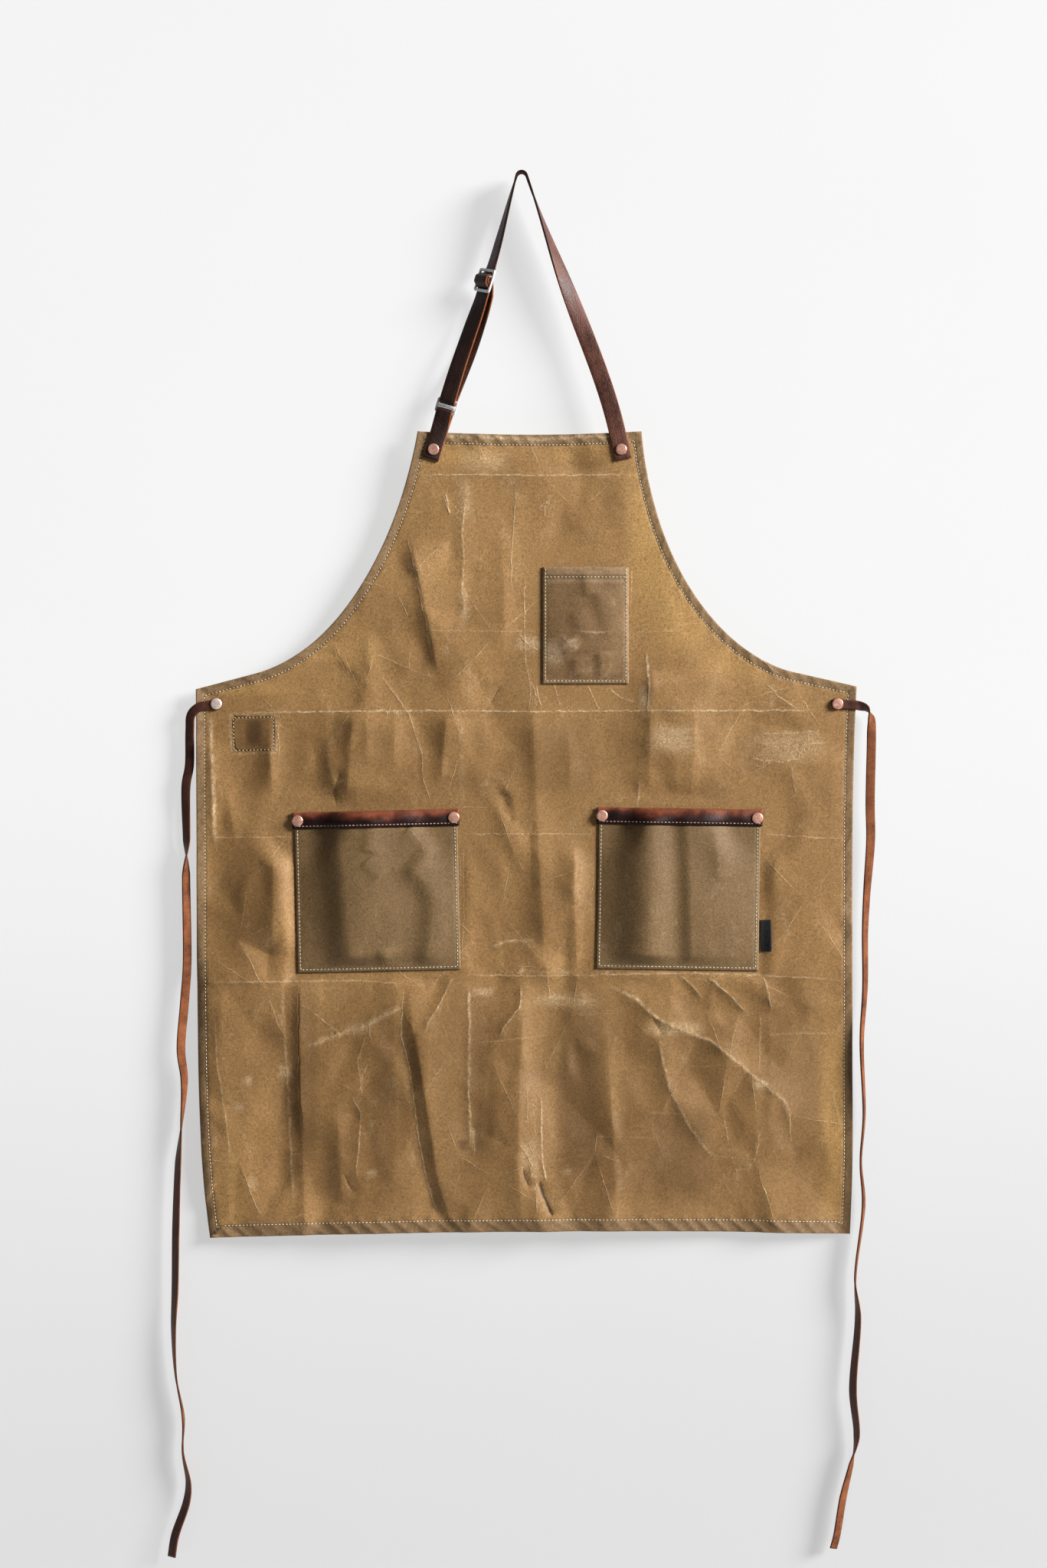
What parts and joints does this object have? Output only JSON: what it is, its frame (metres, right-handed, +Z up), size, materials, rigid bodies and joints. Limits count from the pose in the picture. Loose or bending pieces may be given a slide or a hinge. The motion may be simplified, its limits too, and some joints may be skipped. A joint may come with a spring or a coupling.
{
  "type": "waxed canvas apron",
  "caption": "Long bib apron of waxed canvas with patch pockets, leather-trimmed hand pockets, riveted leather neck strap with slider, and leather waist laces, shown hanging.",
  "frame": {"origin": "underside of the neck strap at the top of its bend, where it hangs", "axes": "+Z up along the hang, -Y out of the apron's front, +X to the right as seen from the front"},
  "size_m": [0.7601, 0.0259, 1.4869],
  "materials": {
    "canvas": "waxed, creased",
    "pocket_canvas": "waxed, creased",
    "strap_leather": "smooth grain with raw edges",
    "lace": "smooth grain, raw flesh side",
    "label": "woven",
    "steel": "satin",
    "copper": "satin copper"
  },
  "bodies": {
    "root": {"body_panel": "canvas", "chest_pocket": "canvas", "left_pocket": "pocket_canvas", "right_pocket": "pocket_canvas", "left_pocket_trim": "strap_leather", "right_pocket_trim": "strap_leather", "corner_patch": "canvas", "pocket_label": "label", "neck_strap": "strap_leather", "strap_tab": "strap_leather", "strap_slider": "steel", "strap_ring": "steel", "waist_tie_left": "lace", "waist_tie_right": "lace", "bib_rivet_left": "copper", "bib_rivet_right": "copper", "waist_rivet_left": "copper", "waist_rivet_right": "copper", "left_pocket_rivet_1": "copper", "left_pocket_rivet_2": "copper", "right_pocket_rivet_1": "copper", "right_pocket_rivet_2": "copper"}
  },
  "joints": []
}
